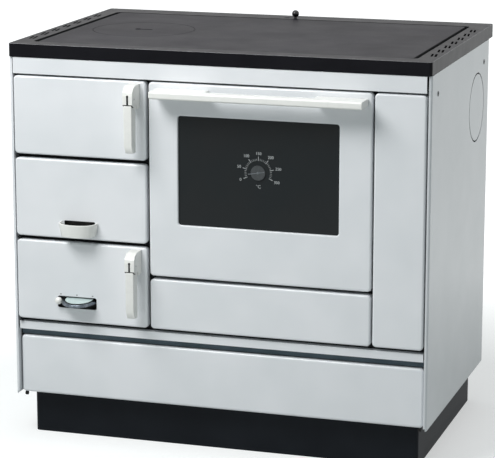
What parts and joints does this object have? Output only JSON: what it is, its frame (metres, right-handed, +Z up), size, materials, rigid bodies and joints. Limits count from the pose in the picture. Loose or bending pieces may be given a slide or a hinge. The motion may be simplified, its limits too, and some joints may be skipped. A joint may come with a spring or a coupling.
{
  "type": "wood-burning range cooker",
  "caption": "White enamelled wood-burning range cooker: black hob with a lid, fire, grate and ash doors, glazed oven door with a bar handle, fuel drawer, dark plinth",
  "frame": {"origin": "middle of the cooker's bounding box in X and Y, on the floor in Z", "axes": "+X to the right as seen from the front, along the cooker's width; +Y from the front to the back; +Z up"},
  "size_m": [0.9, 0.6492, 0.868],
  "materials": {
    "white_enamel": "glossy vitreous enamel",
    "black_enamel": "glossy black enamel",
    "cast_iron": "ground cast iron",
    "black_steel": "heat-proof matt black on steel sheet",
    "zinc_steel": "zinc-plated steel",
    "ivory_plastic": "ivory thermoset",
    "black_plastic": "black thermoset",
    "dark_glass": "dark tinted heat-proof glass",
    "clear_glass": "clear heat-proof glass",
    "fireclay": null,
    "seal_rope": "woven glass-fibre rope",
    "rubber": "black rubber"
  },
  "bodies": {
    "root": {"hob_frame": "black_enamel", "hob_plate": "cast_iron", "damper_guide": "black_steel", "side_panel_left": "white_enamel", "side_panel_right": "white_enamel", "side_screw_front": "zinc_steel", "side_screw_rear": "zinc_steel", "side_flue_cap": "white_enamel", "plinth": "black_enamel", "base_plate": "black_steel", "back_panel": "black_steel", "flue_collar": "black_steel", "flue_box": "black_steel", "front_frame": "black_steel", "top_rail": "white_enamel", "trim_rail": "white_enamel", "column_panel": "white_enamel", "soot_cover": "white_enamel", "door_hinge_post": "black_steel", "oven_hinge_left": "zinc_steel", "oven_hinge_right": "zinc_steel", "oven_box": "black_enamel", "oven_rack": "zinc_steel", "firebox_casing": "black_steel", "fire_grate": "cast_iron", "firebrick_left": "fireclay", "firebrick_right": "fireclay", "firebrick_back": "fireclay", "ash_pan": "zinc_steel"},
    "hob_lid": {"hob_lid": "cast_iron"},
    "damper": {"damper_knob": "black_plastic", "damper_slide": "zinc_steel"},
    "fire_door": {"fire_door_panel": "white_enamel", "fire_door_liner": "cast_iron", "fire_door_seal": "seal_rope", "fire_door_handle_head": "ivory_plastic"},
    "fire_door_lever": {"fire_door_latch_arm": "zinc_steel", "fire_door_lever_grip": "ivory_plastic"},
    "grate_door": {"grate_door_panel": "white_enamel", "grate_door_liner": "cast_iron", "cup_pull": "ivory_plastic"},
    "ash_door": {"ash_door_panel": "white_enamel", "ash_door_liner": "cast_iron", "ash_door_handle_head": "ivory_plastic"},
    "ash_door_lever": {"ash_door_latch_arm": "zinc_steel", "ash_door_lever_grip": "ivory_plastic"},
    "air_dial": {"air_dial": "ivory_plastic", "air_dial_ball": "ivory_plastic"},
    "oven_door": {"oven_door_panel": "white_enamel", "oven_door_glass": "dark_glass", "oven_door_liner": "black_enamel", "oven_door_inner_glass": "clear_glass", "oven_door_seal": "seal_rope", "oven_door_handle": "ivory_plastic", "thermometer_body": "black_steel"},
    "thermometer_needle": {"thermometer_needle": "black_plastic"},
    "fuel_drawer": {"fuel_drawer_front": "white_enamel", "fuel_drawer_box": "zinc_steel", "drawer_buffer_left": "rubber", "drawer_buffer_right": "rubber"}
  },
  "joints": [
    {"name": "hob_lid_lift", "type": "slide", "parent": "root", "child": "hob_lid", "axis": [0, 0, 1], "range_m": [0, 0.06]},
    {"name": "damper_slide", "type": "slide", "parent": "root", "child": "damper", "axis": [-1, 0, 0], "range_m": [0, 0.023]},
    {"name": "fire_door_hinge", "type": "hinge", "parent": "root", "child": "fire_door", "pos_m": [-0.4355, -0.26935, 0.7], "axis": [0, 0, -1], "range_deg": [0, 110]},
    {"name": "fire_door_lever_pin", "type": "hinge", "parent": "fire_door", "child": "fire_door_lever", "pos_m": [-0.171, -0.30635, 0.751], "axis": [-1, 0, 0], "range_deg": [0, 22]},
    {"name": "grate_door_hinge", "type": "hinge", "parent": "root", "child": "grate_door", "pos_m": [-0.4355, -0.26935, 0.526], "axis": [0, 0, -1], "range_deg": [0, 110]},
    {"name": "ash_door_hinge", "type": "hinge", "parent": "root", "child": "ash_door", "pos_m": [-0.4355, -0.26935, 0.348], "axis": [0, 0, -1], "range_deg": [0, 110]},
    {"name": "ash_door_lever_pin", "type": "hinge", "parent": "ash_door", "child": "ash_door_lever", "pos_m": [-0.171, -0.30635, 0.402], "axis": [-1, 0, 0], "range_deg": [0, 22]},
    {"name": "air_dial_pin", "type": "hinge", "parent": "ash_door", "child": "air_dial", "pos_m": [-0.3005, -0.27435, 0.312], "axis": [0, -0.1045, 0.9945], "range_deg": [0, 124]},
    {"name": "oven_door_hinge", "type": "hinge", "parent": "root", "child": "oven_door", "pos_m": [0.0945, -0.26935, 0.381], "axis": [1, 0, 0], "range_deg": [0, 90]},
    {"name": "thermometer_pin", "type": "hinge", "parent": "oven_door", "child": "thermometer_needle", "pos_m": [0.092, -0.27045, 0.607], "axis": [0, 1, 0], "range_deg": [-13, 215]},
    {"name": "fuel_drawer_slide", "type": "slide", "parent": "root", "child": "fuel_drawer", "axis": [0, -1, 0], "range_m": [0, 0.4]}
  ]
}
